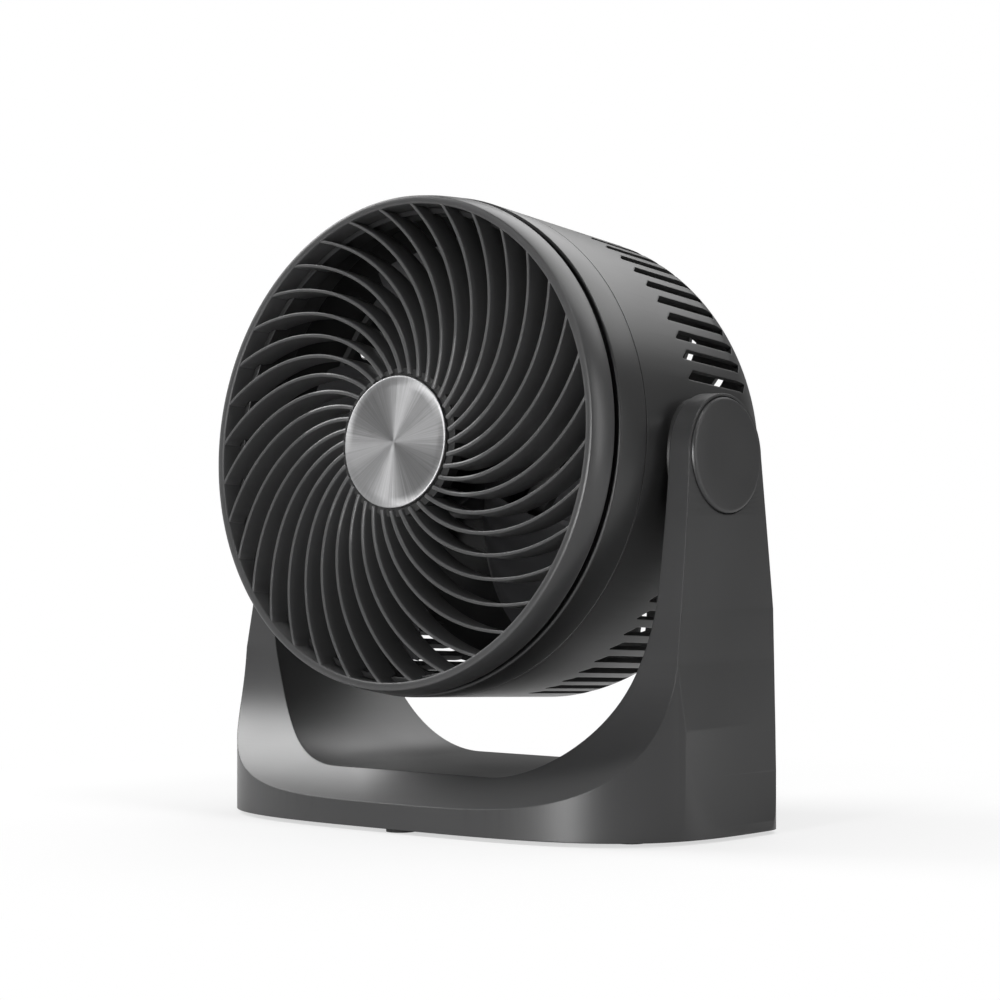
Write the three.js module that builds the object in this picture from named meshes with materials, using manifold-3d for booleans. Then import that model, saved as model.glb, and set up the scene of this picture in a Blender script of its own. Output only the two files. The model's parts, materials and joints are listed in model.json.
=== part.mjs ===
// Air circulator fan: a round head that tilts in a U-shaped yoke stand.
// Millimetres, +Z up, the fan blows towards -Y. The origin is the middle of the footprint,
// on the surface that the feet stand on. The head is modelled level and then tilted up.
import * as THREE from "three";
import { mergeVertices } from "three/addons/utils/BufferGeometryUtils.js";
import Module from "manifold-3d";

const wasm = await Module();
wasm.setup();

// ---- sizes -------------------------------------------------------------------------
const LARGE_SIDES = 40; // facets of the big round pieces
const SMALL_SIDES = 16; // facets of shafts, screws and feet
const GAP = 0.3; // clearance between pieces that touch on the real fan
const MERGE = 0.01; // edges that move the surface less than this are merged away
const TILT = 4.75; // degrees that the head looks up in the photograph

const PIVOT_HEIGHT = 178; // pivot axis above the table
const FOOT_DROP = 1.9; // how far the feet reach below the shell
const FOOT_RADIUS = 7;
const FOOT_HEIGHT = 4.4;

const BASE_SPREAD = 10.3; // how far the bottom edge stands out past an arm
const BASE_FRONT = 88; // bottom edge ahead of the pivot axis
const BASE_REAR = 38; // bottom edge behind the pivot axis
const BASE_WIDEST = 20; // where the plan is widest, behind the pivot axis
const BASE_SQUARENESS = 3.5; // exponent of the plan's rounded front
const BASE_REAR_CORNER = 17;
const FRONT_WALL = 12; // height of the shell's front edge
const FLOOR_THICK = 26; // height of the shell between the arms

const ARM_THICK = 11.5; // at the pivot
const ARM_TOP_RADIUS = 29;
const ARM_LEAN = 2.5; // degrees that the outer face leans in, at the pivot
const YOKE_CLEAR = 3.9; // between the drum's side and an arm's inner face
const YOKE_FLAT = 48; // half width of the level floor between the arms
const LEAN_REACH = 60; // how far below the pivot an arm stays straight
const KNEE_HEIGHT = 50; // where the front sweep meets an arm, above the floor
const YOKE_CURVE = 90; // height of the yoke's elliptical inner corner

const RING_RADIUS = 118; // grille ring, outside
const RING_AHEAD = 83; // front plane of the grille ring, ahead of the pivot axis
const RING_FACE = 4;
const RING_DEPTH = 15.5;
const RIB_COUNT = 36;
const RIB_THICK = 2.2; // measured round the circle
const RIB_DEPTH = 17;
const RIB_SWEEP = 50.4; // degrees from hub to ring, at a steady rate
const RIB_PHASE = -0.9;
const HUB_RADIUS = 31.7;
const HUB_COLLAR = 35.5;
const COLLAR_DEPTH = 9;
const HUB_THICK = 2.4;

const LIP_RADIUS = 120.3; // front lip of the drum
const LIP_AHEAD = 64.6;
const DRUM_WALL = 2.6;
const DRUM_REAR_RADIUS = 116.6; // where the drum turns into the rear dome
const DRUM_STRAIGHT = 40; // behind the pivot axis
const DOME_DEPTH = 55;
const SEAM_AHEAD = 44; // joint between drum front and rear shell

const SLOT_PITCH = 5.2; // degrees
const SLOT_FIRST = 19; // degrees above the pivot axis
const SLOTS_PER_QUARTER = 12;
const SLOT_WIDTH = 5.6;
const SLOT_FRONT = 4; // front end ahead of the pivot axis
const SLOT_REAR = 45; // rear end behind the pivot axis
const INTAKE_COUNT = 20; // slots in the rear dome
const INTAKE_WIDTH = 5;

const CAP_RADIUS = 27.2;
const CAP_THICK = 4;
const CAP_PROUD = 1.2;
const BOSS_RADIUS = 27;
const BOLT_RADIUS = 4;
const BOLT_HEAD_RADIUS = 7.5;
const BOLT_HEAD = 3.5;
const WASHER_RADIUS = 15;
const WASHER_THICK = 1.2;
const NUT_RADIUS = 6.6;
const NUT_THICK = 5;

const FAN_RADIUS = 103;
const FAN_AHEAD = 50; // front of the impeller hub, ahead of the pivot axis
const FAN_DEPTH = 34;
const FAN_HUB_RADIUS = 32;
const FAN_HUB_WALL = 2.6;
const BLADE_COUNT = 5;
const BLADE_SPAN = 44; // degrees covered by one blade
const BLADE_PHASE = -7;
const BLADE_THICK = 2;
const SHAFT_RADIUS = 4;
const SPINNER_RADIUS = 9;
const SPINNER_THICK = 7;

const MOTOR_RADIUS = 42;
const MOTOR_WALL = 2;
const MOTOR_DEPTH = 54;
const MOTOR_SIDE_GAP = 3.5; // between the impeller and the motor mount
const MOUNT_THICK = 4;
const MOUNT_ARM_WIDTH = 12;
const MOUNT_ARMS = 4;
const STATOR_RADIUS = 36;
const STATOR_DEPTH = 24;
const ROTOR_RADIUS = 20;
const BEARING_RADIUS = 9;
const BEARING_DEPTH = 7;
const SCREW_RADIUS = 2;
const SCREW_HEAD_RADIUS = 3.8;
const SCREW_HEAD = 1.6;
const SCREW_LENGTH = 12;

const KNOB_RADIUS = 17;
const KNOB_DEPTH = 14;
const KNOB_STEM = 3;
const SWITCH_SIZE = 30;
const SWITCH_DEPTH = 20;
const CAPACITOR_SIZE = [16, 34, 24];

const PLATE_THICK = 2.4;
const CAVITY_HALF_WIDTH = 96;
const CAVITY_FRONT = 64;
const CAVITY_REAR = 28;
const CAVITY_ROOF = 4; // wall left above the cavity
const PLATE_LEDGE = 4;
const POST_RADIUS = 7;
const POST_SUNK = 1.5; // how far a screw post runs into the cavity's walls
const BALLAST_SIZE = [120, 56, 9];

// ---- values worked out from the sizes ----------------------------------------------
const SHELL_BOTTOM = FOOT_DROP - PIVOT_HEIGHT; // heights are from the pivot axis
const FLOOR = SHELL_BOTTOM + FLOOR_THICK;
const ARM_INNER = drumRadius(0) + YOKE_CLEAR;
const ARM_HALF_WIDTH = ARM_INNER + ARM_THICK;
const BASE_HALF_WIDTH = ARM_HALF_WIDTH + BASE_SPREAD;
const BOLT_SEAT = ARM_HALF_WIDTH - CAP_THICK - BOLT_HEAD - 1.5;
const NUT_SEAT = drumRadius(0) - DRUM_WALL - 1.4;
const MOTOR_SCREW_CIRCLE = MOTOR_RADIUS - 6;
const CAVITY_TOP = FLOOR - CAVITY_ROOF;
const PLATE_TOP = SHELL_BOTTOM + PLATE_THICK + GAP;
const FAN_REAR = FAN_AHEAD - FAN_DEPTH;
const MOUNT_FRONT = FAN_REAR - MOTOR_SIDE_GAP;
const MOTOR_FRONT = MOUNT_FRONT - MOUNT_THICK - GAP;
const MOTOR_REAR = MOTOR_FRONT - MOTOR_DEPTH;
const DOME_REAR = -(DRUM_STRAIGHT + DOME_DEPTH);
const GRILLE_REAR = RING_AHEAD - RING_DEPTH;
const SIDES = [["left", -1], ["right", 1]];

// ---- finishes ----------------------------------------------------------------------
const finish = {
  shell: { color: 0x3a3a3b, roughness: 0.42, metalness: 0.0 },
  grille: { color: 0x333334, roughness: 0.38, metalness: 0.0 },
  dark: { color: 0x1b1b1c, roughness: 0.5, metalness: 0.0 },
  fan: { color: 0x242425, roughness: 0.4, metalness: 0.0 },
  brushed: { color: 0xb4b4b6, roughness: 0.32, metalness: 1.0 },
  steel: { color: 0x8a8c8f, roughness: 0.35, metalness: 1.0 },
  copper: { color: 0x8e5a33, roughness: 0.45, metalness: 0.8 },
  rubber: { color: 0x161616, roughness: 0.9, metalness: 0.0 },
};

// ---- shape helpers -----------------------------------------------------------------
function solid(geometry) {
  geometry.deleteAttribute("normal");
  geometry.deleteAttribute("uv");
  const merged = mergeVertices(geometry, 1e-4);
  const corners = merged.index.array;
  const kept = [];
  for (let i = 0; i < corners.length; i += 3) {
    const [a, b, c] = [corners[i], corners[i + 1], corners[i + 2]];
    if (a !== b && b !== c && c !== a) kept.push(a, b, c);
  }
  return new wasm.Manifold(new wasm.Mesh({
    numProp: 3,
    vertProperties: new Float32Array(merged.attributes.position.array),
    triVerts: new Uint32Array(kept),
  }));
}

// A closed profile of [radius, distance ahead] pairs, turned about the head's axis.
function turned(profile, sides = LARGE_SIDES) {
  let area = 0;
  profile.forEach(([r, s], i) => {
    const [r2, s2] = profile[(i + 1) % profile.length];
    area += r * -s2 - r2 * -s;
  });
  const points = profile.map(([r, s]) => new THREE.Vector2(r, -s));
  if (area < 0) points.reverse();
  points.push(points[0].clone());
  return solid(new THREE.LatheGeometry(points, sides));
}

// A disc or tube along the head's axis, between two distances ahead of the pivot.
function disc(outer, inner, front, rear, sides = SMALL_SIDES) {
  if (inner === 0) return turned([[0, rear], [outer, rear], [outer, front], [0, front]], sides);
  return turned([[inner, rear], [outer, rear], [outer, front], [inner, front]], sides);
}

// A flat outline in x and y, raised from z = 0.
function raised(points, height) {
  const shape = new THREE.Shape(points.map(([x, y]) => new THREE.Vector2(x, y)));
  return solid(new THREE.ExtrudeGeometry(shape, { depth: height, bevelEnabled: false }));
}

function box(width, depth, height) {
  return solid(new THREE.BoxGeometry(width, depth, height));
}

// A round bar or tube along X, centred on x = 0.
function crossBar(radius, length, bore = 0, sides = SMALL_SIDES) {
  return disc(radius, bore, length / 2, -length / 2, sides).rotate([0, 0, 90]);
}

// A round bar along Z, standing on z = 0.
function post(radius, height, sides = SMALL_SIDES) {
  return disc(radius, 0, height, 0, sides).rotate([-90, 0, 0]);
}

function curvePoints(curve, steps) {
  return curve.getPoints(steps).map((p) => [p.x, p.y]);
}

function bezier(...points) {
  return new THREE.CubicBezierCurve(...points.map(([x, y]) => new THREE.Vector2(x, y)));
}

function mirrored(points) {
  return points.map(([x, y]) => [-x, y]).reverse();
}

// ---- the drum's outline ------------------------------------------------------------
function drumRadius(ahead) {
  const taper = (LIP_RADIUS - DRUM_REAR_RADIUS) / (LIP_AHEAD + DRUM_STRAIGHT);
  return LIP_RADIUS - taper * (LIP_AHEAD - ahead);
}

// The rear dome, from the end of the drum to the flat at its back, set in by a wall.
function domePoints(wall, steps) {
  const start = [DRUM_REAR_RADIUS - wall, -DRUM_STRAIGHT];
  const shoulder = [DRUM_REAR_RADIUS - wall - 2, -DRUM_STRAIGHT - DOME_DEPTH * 0.36];
  const hip = [DRUM_REAR_RADIUS * 0.8, DOME_REAR + wall];
  const back = [DRUM_REAR_RADIUS * 0.5, DOME_REAR + wall];
  return curvePoints(bezier(start, shoulder, hip, back), steps);
}

// ---- stand -------------------------------------------------------------------------
function planOutline() {
  const front = [];
  const steps = 28;
  for (let i = 0; i <= steps; i += 1) {
    const turn = (Math.PI * i) / steps - Math.PI / 2;
    const power = 2 / BASE_SQUARENESS;
    const x = BASE_HALF_WIDTH * Math.sign(Math.sin(turn)) * Math.abs(Math.sin(turn)) ** power;
    const reach = (BASE_FRONT + BASE_WIDEST) * Math.max(Math.cos(turn), 0) ** power;
    front.push([x, BASE_WIDEST - reach]);
  }
  const centre = [BASE_HALF_WIDTH - BASE_REAR_CORNER, BASE_REAR - BASE_REAR_CORNER];
  const corner = [];
  for (let turn = 0; turn <= 90; turn += 18) {
    const angle = THREE.MathUtils.degToRad(turn);
    corner.push([centre[0] + BASE_REAR_CORNER * Math.cos(angle),
      centre[1] + BASE_REAR_CORNER * Math.sin(angle)]);
  }
  return [...front, ...corner, ...mirrored(corner)];
}

// Half of the yoke seen from the front: the outer side, the arm top and the inner curve.
function yokeOutline() {
  const top = ARM_TOP_RADIUS + 1;
  const lean = Math.tan(THREE.MathUtils.degToRad(ARM_LEAN));
  const outer = curvePoints(bezier(
    [BASE_HALF_WIDTH + GAP, SHELL_BOTTOM],
    [ARM_HALF_WIDTH + 4, FLOOR],
    [ARM_HALF_WIDTH + LEAN_REACH * lean, -LEAN_REACH],
    [ARM_HALF_WIDTH - top * lean, top],
  ), 7);
  const inner = [];
  for (let turn = 0; turn <= 90; turn += 9) {
    const angle = THREE.MathUtils.degToRad(turn);
    inner.push([YOKE_FLAT + (ARM_INNER - YOKE_FLAT) * Math.cos(angle),
      FLOOR + YOKE_CURVE * (1 - Math.sin(angle))]);
  }
  return [...outer, [ARM_INNER, top], ...inner];
}

// The stand seen from the right: front sweep, round arm top and rear edge.
function sideOutline() {
  const foot = [-BASE_FRONT - 1, SHELL_BOTTOM];
  const wallTop = [-BASE_FRONT, SHELL_BOTTOM + FRONT_WALL];
  const knee = [-ARM_TOP_RADIUS - 15, FLOOR + KNEE_HEIGHT];
  const sweep = curvePoints(bezier(
    wallTop, [wallTop[0] + 22, wallTop[1] + 16], [knee[0] - 4.6, knee[1] - 28], knee,
  ), 10);
  const shin = curvePoints(bezier(
    knee, [knee[0] + 4.6, knee[1] + 28], [-ARM_TOP_RADIUS - 3, -34], [-ARM_TOP_RADIUS, 0],
  ), 6);
  const crown = [];
  for (let turn = 165; turn >= 0; turn -= 15) {
    const angle = THREE.MathUtils.degToRad(turn);
    crown.push([ARM_TOP_RADIUS * Math.cos(angle), ARM_TOP_RADIUS * Math.sin(angle)]);
  }
  const rear = curvePoints(bezier(
    [ARM_TOP_RADIUS, 0], [ARM_TOP_RADIUS + 5, -60], [BASE_REAR, -90], [BASE_REAR, FLOOR],
  ), 6);
  const outline = [foot, ...sweep, ...shin.slice(1), ...crown, ...rear.slice(1),
    [BASE_REAR, SHELL_BOTTOM]];
  return outline;
}

function cavityOutline(margin) {
  const [x, front, rear] = [CAVITY_HALF_WIDTH + margin, CAVITY_FRONT + margin,
    CAVITY_REAR + margin];
  return [[-x, -front], [x, -front], [x, rear], [-x, rear]];
}

function screwPlaces() {
  const inset = POST_RADIUS - POST_SUNK;
  const [x, front, rear] = [CAVITY_HALF_WIDTH - inset, inset - CAVITY_FRONT, CAVITY_REAR - inset];
  return [[-x, front], [x, front], [-x, rear], [x, rear]];
}

function capPlace(side) {
  const tilt = side * ARM_LEAN;
  return (piece) => piece.rotate([0, -tilt, 0]).translate([side * ARM_HALF_WIDTH, 0, 0]);
}

function standShell() {
  const yoke = yokeOutline();
  const tall = 2 * PIVOT_HEIGHT;
  const front = raised([...yoke, ...mirrored(yoke)], tall)
    .rotate([90, 0, 0]).translate([0, tall / 2, 0]);
  const side = raised(sideOutline(), 4 * BASE_HALF_WIDTH)
    .rotate([90, 0, 90]).translate([-2 * BASE_HALF_WIDTH, 0, 0]);
  const plan = raised(planOutline(), tall).translate([0, 0, SHELL_BOTTOM]);
  let shell = front.intersect(side).intersect(plan);
  let cavity = raised(cavityOutline(0), CAVITY_TOP - SHELL_BOTTOM);
  for (const [x, y] of screwPlaces()) {
    cavity = cavity.subtract(post(POST_RADIUS, tall).translate([x, y, -1]));
  }
  shell = shell.subtract(cavity.translate([0, 0, SHELL_BOTTOM]));
  const ledge = raised(cavityOutline(PLATE_LEDGE), PLATE_THICK + 2 * GAP);
  shell = shell.subtract(ledge.translate([0, 0, SHELL_BOTTOM - GAP]));
  for (const [x, y] of screwPlaces()) {
    const hole = post(SCREW_RADIUS + GAP, SCREW_LENGTH + GAP);
    shell = shell.subtract(hole.translate([x, y, SHELL_BOTTOM]));
  }
  for (const [x, y] of footPlaces()) {
    const socket = post(FOOT_RADIUS + GAP, FOOT_HEIGHT - FOOT_DROP + GAP);
    shell = shell.subtract(socket.translate([x, y, SHELL_BOTTOM]));
  }
  for (const [, sign] of SIDES) {
    shell = shell.subtract(capPlace(sign)(crossBar(CAP_RADIUS + 0.5,
      2 * (CAP_THICK - CAP_PROUD + GAP), 0, LARGE_SIDES)));
    shell = shell.subtract(crossBar(BOLT_HEAD_RADIUS + 1.5, 2 * (BOLT_HEAD + 1))
      .translate([sign * (BOLT_SEAT + BOLT_HEAD + 1), 0, 0]));
    shell = shell.subtract(crossBar(BOLT_RADIUS + GAP, 40)
      .translate([sign * ARM_INNER, 0, 0]));
  }
  return shell;
}

function footPlaces() {
  const side = CAVITY_HALF_WIDTH + PLATE_LEDGE + FOOT_RADIUS + 5;
  return [[0, -BASE_FRONT + FOOT_RADIUS + 3], [side, -46], [-side, -46],
    [side, BASE_REAR - FOOT_RADIUS - 8], [-side, BASE_REAR - FOOT_RADIUS - 8]];
}

function basePlate() {
  let plate = raised(cavityOutline(PLATE_LEDGE - GAP), PLATE_THICK);
  for (const [x, y] of screwPlaces()) {
    plate = plate.subtract(post(SCREW_RADIUS + GAP, 4 * PLATE_THICK)
      .translate([x, y, -PLATE_THICK]));
  }
  return plate.translate([0, 0, SHELL_BOTTOM]);
}

// A screw with a round head below z = 0 and its shank above.
function screw() {
  return post(SCREW_HEAD_RADIUS, SCREW_HEAD).translate([0, 0, -SCREW_HEAD])
    .add(post(SCREW_RADIUS, SCREW_LENGTH));
}

// ---- pivots ------------------------------------------------------------------------
function pivotCap(side) {
  const round = turned([[0, -CAP_THICK + CAP_PROUD], [CAP_RADIUS, -CAP_THICK + CAP_PROUD],
    [CAP_RADIUS, CAP_PROUD - 0.8], [CAP_RADIUS - 0.8, CAP_PROUD], [0, CAP_PROUD]]);
  return capPlace(side)(round.rotate([0, 0, side * 90]));
}

function pivotBoss(side) {
  const outside = ARM_INNER - GAP - WASHER_THICK;
  const length = 24;
  const bar = crossBar(BOSS_RADIUS, length, 0, LARGE_SIDES)
    .translate([side * (outside - length / 2), 0, 0]);
  return bar.subtract(drumBody(GAP))
    .subtract(crossBar(BOLT_RADIUS + GAP, 2 * length).translate([side * outside, 0, 0]));
}

function pivotBolt(side) {
  const head = BOLT_SEAT + GAP + BOLT_HEAD / 2;
  const shank = head - NUT_SEAT + NUT_THICK + 2 - GAP;
  const bolt = crossBar(BOLT_RADIUS, shank).translate([head - shank / 2, 0, 0])
    .add(crossBar(BOLT_HEAD_RADIUS, BOLT_HEAD).translate([head, 0, 0]));
  return side > 0 ? bolt : bolt.rotate([0, 0, 180]);
}

function pivotNut(side) {
  return crossBar(NUT_RADIUS, NUT_THICK, 0, 6)
    .subtract(crossBar(BOLT_RADIUS + GAP, 2 * NUT_THICK))
    .translate([side * (NUT_SEAT - NUT_THICK / 2), 0, 0]);
}

function pivotWasher(side) {
  return crossBar(WASHER_RADIUS, WASHER_THICK, BOLT_RADIUS + GAP)
    .translate([side * (ARM_INNER - GAP - WASHER_THICK / 2 + 0.15), 0, 0]);
}

// ---- head casing -------------------------------------------------------------------
function drumBody(extra) {
  const side = [[0, LIP_AHEAD + extra], [LIP_RADIUS + extra, LIP_AHEAD + extra],
    [DRUM_REAR_RADIUS + extra, -DRUM_STRAIGHT]];
  return turned([...side, ...domePoints(-extra, 6).slice(1), [0, DOME_REAR - extra]]);
}

function drumFront() {
  const seat = drumRadius(SEAM_AHEAD);
  const neck = RING_RADIUS - RING_FACE - GAP;
  return turned([[LIP_RADIUS, LIP_AHEAD], [seat, SEAM_AHEAD], [seat - DRUM_WALL, SEAM_AHEAD],
    [seat - DRUM_WALL, LIP_AHEAD - 6], [neck - DRUM_WALL, LIP_AHEAD - 3],
    [neck - DRUM_WALL, GRILLE_REAR + 4], [neck, GRILLE_REAR + 4],
    [neck, LIP_AHEAD - 1.6], [LIP_RADIUS - 4, LIP_AHEAD - 1.6], [LIP_RADIUS - 3, LIP_AHEAD]]);
}

function slotCutter() {
  const length = SLOT_FRONT + SLOT_REAR;
  const slant = SLOT_WIDTH * 0.9;
  const half = SLOT_WIDTH / 2;
  return raised([[0, -half], [length, -half], [length + slant, half], [slant, half]], 30)
    .rotate([90, 0, 90]).translate([DRUM_REAR_RADIUS - 20, -SLOT_FRONT, 0]);
}

function rearShell() {
  const seam = SEAM_AHEAD - GAP;
  const outer = [[drumRadius(seam), seam], [DRUM_REAR_RADIUS, -DRUM_STRAIGHT],
    ...domePoints(0, 6).slice(1), [KNOB_STEM + 1, DOME_REAR]];
  const inner = [[KNOB_STEM + 1, DOME_REAR + DRUM_WALL], ...domePoints(DRUM_WALL, 5).reverse(),
    [drumRadius(seam) - DRUM_WALL, seam]];
  let shell = turned([...outer, ...inner]);
  const cutters = [];
  for (let i = 0; i < SLOTS_PER_QUARTER; i += 1) {
    const angle = SLOT_FIRST + i * SLOT_PITCH;
    for (const turn of [angle, 180 - angle, -angle, 180 + angle]) {
      cutters.push(slotCutter().rotate([0, -turn, 0]));
    }
  }
  for (let i = 0; i < INTAKE_COUNT; i += 1) {
    const cutter = box(DRUM_REAR_RADIUS * 0.34, 40, INTAKE_WIDTH)
      .translate([DRUM_REAR_RADIUS * 0.56, -DOME_REAR, 0]);
    cutters.push(cutter.rotate([0, (360 * i) / INTAKE_COUNT, 0]));
  }
  shell = shell.subtract(wasm.Manifold.union(cutters));
  for (const [, sign] of SIDES) {
    shell = shell.subtract(crossBar(BOLT_RADIUS + GAP, 40)
      .translate([sign * drumRadius(0), 0, 0]));
  }
  return shell;
}

// ---- front grille ------------------------------------------------------------------
function ribRadius(share) {
  const inner = HUB_RADIUS + 1.2;
  return inner + (RING_RADIUS - RING_FACE + 1 - inner) * share;
}

function rib(turn) {
  const steps = 6;
  const near = [];
  const far = [];
  for (let i = 0; i <= steps; i += 1) {
    const share = i / steps;
    const radius = ribRadius(share);
    const angle = THREE.MathUtils.degToRad(turn + RIB_PHASE + RIB_SWEEP * share);
    const half = RIB_THICK / 2 / radius;
    near.push([radius * Math.cos(angle - half), radius * Math.sin(angle - half)]);
    far.push([radius * Math.cos(angle + half), radius * Math.sin(angle + half)]);
  }
  return raised([...near, ...far.reverse()], RIB_DEPTH).rotate([90, 0, 0])
    .translate([0, -RING_AHEAD + RIB_DEPTH + 0.6, 0]);
}

function frontGrille() {
  const inside = RING_RADIUS - RING_FACE;
  const flare = LIP_RADIUS - RING_RADIUS;
  const ring = turned([[RING_RADIUS, RING_AHEAD - 0.8], [RING_RADIUS + flare, GRILLE_REAR],
    [inside, GRILLE_REAR], [inside, RING_AHEAD], [RING_RADIUS - 0.8, RING_AHEAD]]);
  const collar = disc(HUB_COLLAR, 0, RING_AHEAD - HUB_THICK - GAP, RING_AHEAD - COLLAR_DEPTH,
    LARGE_SIDES);
  const ribs = [];
  for (let i = 0; i < RIB_COUNT; i += 1) ribs.push(rib((360 * i) / RIB_COUNT));
  const neck = disc(RING_RADIUS, inside - DRUM_WALL - 2 * GAP, GRILLE_REAR + 4 + GAP, 0,
    LARGE_SIDES);
  const seat = disc(HUB_RADIUS + 1, 0, RING_AHEAD + 2, RING_AHEAD - HUB_THICK, LARGE_SIDES);
  return wasm.Manifold.union(ribs).subtract(neck).add(ring).add(collar).subtract(seat);
}

function hubDisc() {
  const top = RING_AHEAD + 0.4;
  return turned([[0, top - HUB_THICK], [HUB_RADIUS, top - HUB_THICK],
    [HUB_RADIUS, top - 0.6], [HUB_RADIUS - 0.6, top], [0, top]]);
}

// ---- impeller and motor ------------------------------------------------------------
function blade(turn) {
  const inside = FAN_HUB_RADIUS - 1;
  const ring = [];
  const steps = 4;
  const corner = (radius, angle) => [radius * Math.cos(angle), radius * Math.sin(angle)];
  const span = THREE.MathUtils.degToRad(BLADE_SPAN);
  for (let i = 0; i <= steps; i += 1) ring.push(corner(FAN_RADIUS, (span * i) / steps + 0.25));
  for (let i = steps; i >= 0; i -= 1) ring.push(corner(inside, (span * i) / steps));
  const flat = raised(ring, BLADE_THICK);
  const pitch = (FAN_DEPTH - 10) / span;
  const twisted = flat.refine(2).warp((v) => {
    v[2] += pitch * (Math.atan2(v[1], v[0]) - span / 2) * (inside / Math.hypot(v[0], v[1])) ** 0.4;
  });
  return twisted.rotate([0, 0, turn]);
}

function impeller() {
  const middle = (FAN_AHEAD + FAN_REAR) / 2;
  const wall = FAN_HUB_WALL;
  const hub = turned([[SHAFT_RADIUS + 0.05, FAN_AHEAD], [FAN_HUB_RADIUS - 2, FAN_AHEAD],
    [FAN_HUB_RADIUS, FAN_AHEAD - 2], [FAN_HUB_RADIUS, FAN_REAR],
    [FAN_HUB_RADIUS - wall, FAN_REAR], [FAN_HUB_RADIUS - wall, FAN_AHEAD - wall],
    [SHAFT_RADIUS + 5, FAN_AHEAD - wall], [SHAFT_RADIUS + 5, FAN_REAR + 6],
    [SHAFT_RADIUS + 0.05, FAN_REAR + 6]], 2 * SMALL_SIDES);
  const blades = [];
  for (let i = 0; i < BLADE_COUNT; i += 1) blades.push(blade(BLADE_PHASE + (360 * i) / BLADE_COUNT));
  const wheel = wasm.Manifold.union(blades).rotate([90, 0, 0]).translate([0, -middle, 0]);
  const core = disc(FAN_HUB_RADIUS - wall / 2, 0, FAN_AHEAD + 20, FAN_REAR - 20, 2 * SMALL_SIDES);
  return wheel.subtract(core).add(hub);
}

function motorMount() {
  const reach = drumRadius(MOUNT_FRONT - MOUNT_THICK) - DRUM_WALL - GAP;
  let plate = disc(MOTOR_RADIUS + 4, BEARING_RADIUS + 4, MOUNT_FRONT, MOUNT_FRONT - MOUNT_THICK);
  for (let i = 0; i < MOUNT_ARMS; i += 1) {
    const length = reach - 2 - MOTOR_RADIUS;
    const strut = box(length, MOUNT_THICK, MOUNT_ARM_WIDTH)
      .translate([MOTOR_RADIUS + length / 2, -MOUNT_FRONT + MOUNT_THICK / 2, 0]);
    plate = plate.add(strut.rotate([0, 45 + (360 * i) / MOUNT_ARMS, 0]));
  }
  const rim = disc(reach, reach - 3, MOUNT_FRONT, MOUNT_FRONT - MOUNT_THICK, LARGE_SIDES);
  plate = plate.add(rim);
  for (const turn of motorScrewTurns()) {
    plate = plate.subtract(axialHole(turn, MOTOR_SCREW_CIRCLE, SCREW_RADIUS + GAP));
  }
  return plate;
}

function motorScrewTurns() {
  return [45, 135, 225, 315];
}

function axialHole(turn, circle, radius) {
  return disc(radius, 0, 200, -200).translate([circle, 0, 0]).rotate([0, turn, 0]);
}

function motorCan() {
  const bore = SHAFT_RADIUS + 1;
  const pocket = BEARING_RADIUS + GAP;
  const step = MOTOR_FRONT - BEARING_DEPTH;
  let can = turned([[bore, MOTOR_FRONT], [MOTOR_RADIUS, MOTOR_FRONT], [MOTOR_RADIUS, MOTOR_REAR],
    [MOTOR_RADIUS - MOTOR_WALL, MOTOR_REAR], [MOTOR_RADIUS - MOTOR_WALL, step - 2],
    [pocket, step - 2], [pocket, MOTOR_FRONT - MOTOR_WALL], [bore, MOTOR_FRONT - MOTOR_WALL]],
  SMALL_SIDES);
  for (const turn of motorScrewTurns()) {
    const hole = disc(SCREW_RADIUS + 0.05, 0, MOTOR_FRONT + 1, MOTOR_FRONT - SCREW_LENGTH);
    can = can.subtract(hole.translate([MOTOR_SCREW_CIRCLE, 0, 0]).rotate([0, turn, 0]));
  }
  return can;
}

function motorCover() {
  const top = MOTOR_REAR - GAP;
  const pocket = BEARING_RADIUS + GAP;
  return turned([[0, top - MOTOR_WALL - BEARING_DEPTH], [pocket + 3, top - MOTOR_WALL - BEARING_DEPTH],
    [pocket + 3, top - MOTOR_WALL], [MOTOR_RADIUS, top - MOTOR_WALL], [MOTOR_RADIUS, top],
    [pocket, top], [pocket, top - BEARING_DEPTH], [0, top - BEARING_DEPTH]], SMALL_SIDES);
}

function stator() {
  const middle = (MOTOR_FRONT + MOTOR_REAR) / 2;
  const core = disc(MOTOR_RADIUS - MOTOR_WALL - GAP, ROTOR_RADIUS + 0.6,
    middle + STATOR_DEPTH / 2, middle - STATOR_DEPTH / 2);
  const winding = disc(STATOR_RADIUS - 3, ROTOR_RADIUS + 3,
    middle + STATOR_DEPTH / 2 + 6, middle - STATOR_DEPTH / 2 - 6);
  return core.add(winding);
}

function rotor() {
  const middle = (MOTOR_FRONT + MOTOR_REAR) / 2;
  return disc(ROTOR_RADIUS, SHAFT_RADIUS + 0.05, middle + STATOR_DEPTH / 2,
    middle - STATOR_DEPTH / 2);
}

function shaft() {
  return disc(SHAFT_RADIUS, 0, FAN_AHEAD + SPINNER_THICK - 2,
    MOTOR_REAR - BEARING_DEPTH + 0.2);
}

function bearing(front) {
  return disc(BEARING_RADIUS, SHAFT_RADIUS + 0.3, front, front - BEARING_DEPTH);
}

function spinnerNut() {
  const rear = FAN_AHEAD + GAP;
  return turned([[SHAFT_RADIUS + 0.05, rear], [SPINNER_RADIUS, rear],
    [SPINNER_RADIUS - 2, rear + SPINNER_THICK], [0, rear + SPINNER_THICK],
    [0, rear + SPINNER_THICK - 1.8], [SHAFT_RADIUS + 0.05, rear + SPINNER_THICK - 1.8]],
  SMALL_SIDES);
}

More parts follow.
